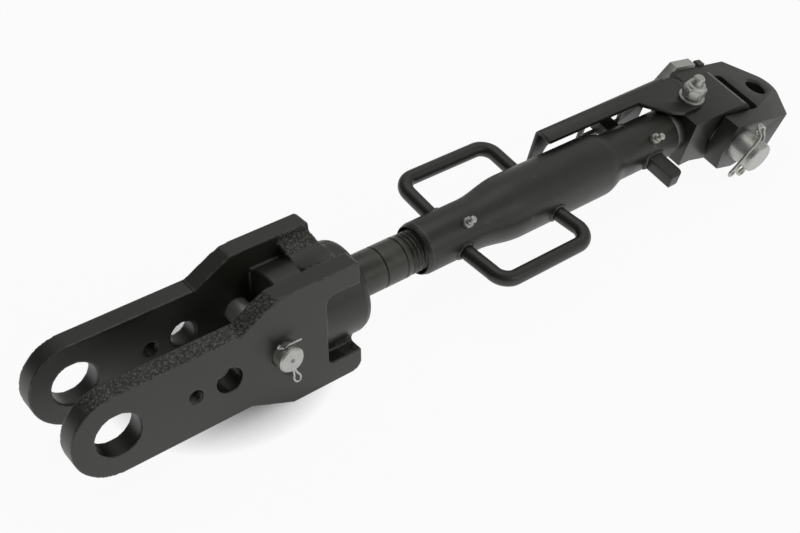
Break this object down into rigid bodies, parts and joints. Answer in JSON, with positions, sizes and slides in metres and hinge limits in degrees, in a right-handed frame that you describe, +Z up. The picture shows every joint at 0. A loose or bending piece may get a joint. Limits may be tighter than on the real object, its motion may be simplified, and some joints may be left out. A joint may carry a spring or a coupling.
{
  "type": "tractor lift arm",
  "caption": "Adjustable lift arm of a rear linkage: forked lower end, screw in a turnbuckle tube with rod handles, swivelling head with a lock latch, and a pinned yoke.",
  "frame": {"origin": "centre of the fork's big bore", "axes": "+X along the arm from the fork to the upper joint, +Y along the fork's bore, +Z up"},
  "size_m": [0.8253, 0.145, 0.1091],
  "materials": {
    "black_paint": "satin black paint",
    "screw_black": "thin black paint",
    "zinc_plate": "zinc plated",
    "bare_steel": "oiled",
    "bronze": "machined"
  },
  "bodies": {
    "fork": {"fork_forging": "black_paint", "adjusting_screw": "screw_black", "screw_lock_pin": "bare_steel", "float_pin": "zinc_plate", "float_pin_cotter": "zinc_plate"},
    "thrust_washers": {"inner_thrust_washer": "bronze", "outer_thrust_washer": "bronze"},
    "tube": {"turnbuckle_tube": "black_paint", "near_handle": "black_paint", "far_handle": "black_paint", "near_lug": "black_paint", "far_lug": "black_paint", "lower_grease_nipple": "zinc_plate", "upper_grease_nipple": "zinc_plate"},
    "head": {"swivel_knuckle": "black_paint", "swivel_nut": "bare_steel", "swivel_nut_pin": "bare_steel", "knuckle_bush": "bronze", "knuckle_washers": "bare_steel", "latch_stud": "zinc_plate", "latch_washer": "zinc_plate", "latch_nut": "zinc_plate"},
    "latch": {"lock_latch": "black_paint"},
    "yoke": {"upper_yoke": "black_paint", "upper_pin": "zinc_plate", "upper_pin_clip": "zinc_plate"}
  },
  "joints": [
    {"name": "extension", "type": "slide", "parent": "fork", "child": "thrust_washers", "axis": [1, 0, 0], "range_m": [-0.008, 0.08]},
    {"name": "tube_turn", "type": "hinge", "parent": "thrust_washers", "child": "tube", "pos_m": [0.45, 0, 0], "axis": [1, 0, 0], "range_deg": [-720, 7200]},
    {"name": "head_swivel", "type": "hinge", "parent": "tube", "child": "head", "pos_m": [0.618, 0, 0], "axis": [1, 0, 0], "range_deg": [-2, 2]},
    {"name": "latch_swing", "type": "hinge", "parent": "head", "child": "latch", "pos_m": [0.6495, -0.00442, 0.02907], "axis": [0, -0.2504, 0.9681], "range_deg": [-25, 0]},
    {"name": "yoke_tilt", "type": "hinge", "parent": "head", "child": "yoke", "pos_m": [0.688, 0.00125, -0.00484], "axis": [0, 0.9681, 0.2504], "range_deg": [-45, 45]}
  ],
  "couplings": [
    {"joint": "extension", "follows": "tube_turn", "m_per_rad": 0.0006366}
  ]
}
